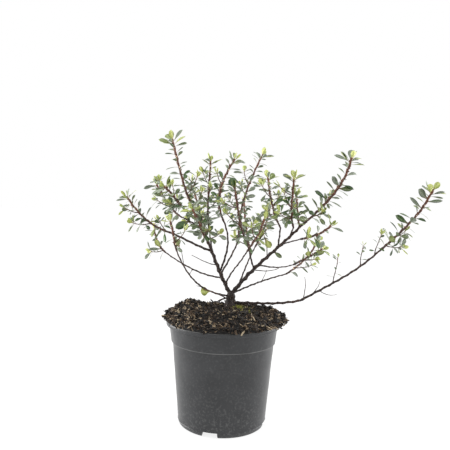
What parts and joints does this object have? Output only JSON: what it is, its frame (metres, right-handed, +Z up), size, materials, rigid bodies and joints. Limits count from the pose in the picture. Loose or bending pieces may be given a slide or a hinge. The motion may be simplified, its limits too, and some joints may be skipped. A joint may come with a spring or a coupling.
{
  "type": "potted escallonia shrub",
  "caption": "Young open-branched escallonia shrub with small leaves in a round nursery pot heaped with bark compost.",
  "frame": {"origin": "middle of the pot's underside, on the surface it stands on", "axes": "+Z up along the pot's axis, +X towards the side that the long low bough reaches to, -Y towards the viewer"},
  "size_m": [0.4593, 0.2258, 0.429],
  "materials": {
    "recycled_black_plastic": "moulded recycled plastic, dark grey, satin",
    "bark_compost": "shredded bark and peat, rough",
    "old_bark": "thin rough grey-brown bark, reddish on young wood",
    "escallonia_leaf": "small waxy evergreen leaves, slightly glossy"
  },
  "bodies": {
    "root": {"back_left_bough": "old_bark", "back_right_bough": "old_bark", "centre_back_branch": "old_bark", "centre_branch": "old_bark", "centre_front_branch": "old_bark", "compost": "bark_compost", "foliage_back_left": "escallonia_leaf", "foliage_back_right": "escallonia_leaf", "foliage_centre": "escallonia_leaf", "foliage_centre_back": "escallonia_leaf", "foliage_centre_front": "escallonia_leaf", "foliage_crown_back": "escallonia_leaf", "foliage_crown_front": "escallonia_leaf", "foliage_far_back": "escallonia_leaf", "foliage_foot": "escallonia_leaf", "foliage_front_left": "escallonia_leaf", "foliage_left_back": "escallonia_leaf", "foliage_left_front": "escallonia_leaf", "foliage_left_side": "escallonia_leaf", "foliage_left_top": "escallonia_leaf", "foliage_low_back": "escallonia_leaf", "foliage_low_front": "escallonia_leaf", "foliage_low_inner": "escallonia_leaf", "foliage_low_tip": "escallonia_leaf", "foliage_right_back": "escallonia_leaf", "foliage_right_crown": "escallonia_leaf", "foliage_right_front": "escallonia_leaf", "foliage_right_inner": "escallonia_leaf", "foliage_right_outer": "escallonia_leaf", "foliage_right_side": "escallonia_leaf", "foliage_right_top": "escallonia_leaf", "foliage_right_under": "escallonia_leaf", "foliage_upper_left": "escallonia_leaf", "front_left_bough": "old_bark", "left_back_branch": "old_bark", "left_front_branch": "old_bark", "left_main_bough": "old_bark", "left_side_bough": "old_bark", "low_bough": "old_bark", "low_bough_rise": "old_bark", "pot": "recycled_black_plastic", "right_back_branch": "old_bark", "right_front_branch": "old_bark", "right_inner_branch": "old_bark", "right_main_bough": "old_bark", "right_outer_branch": "old_bark", "right_side_branch": "old_bark", "right_under_branch": "old_bark", "trunk": "old_bark", "upper_left_branch": "old_bark"}
  },
  "joints": []
}
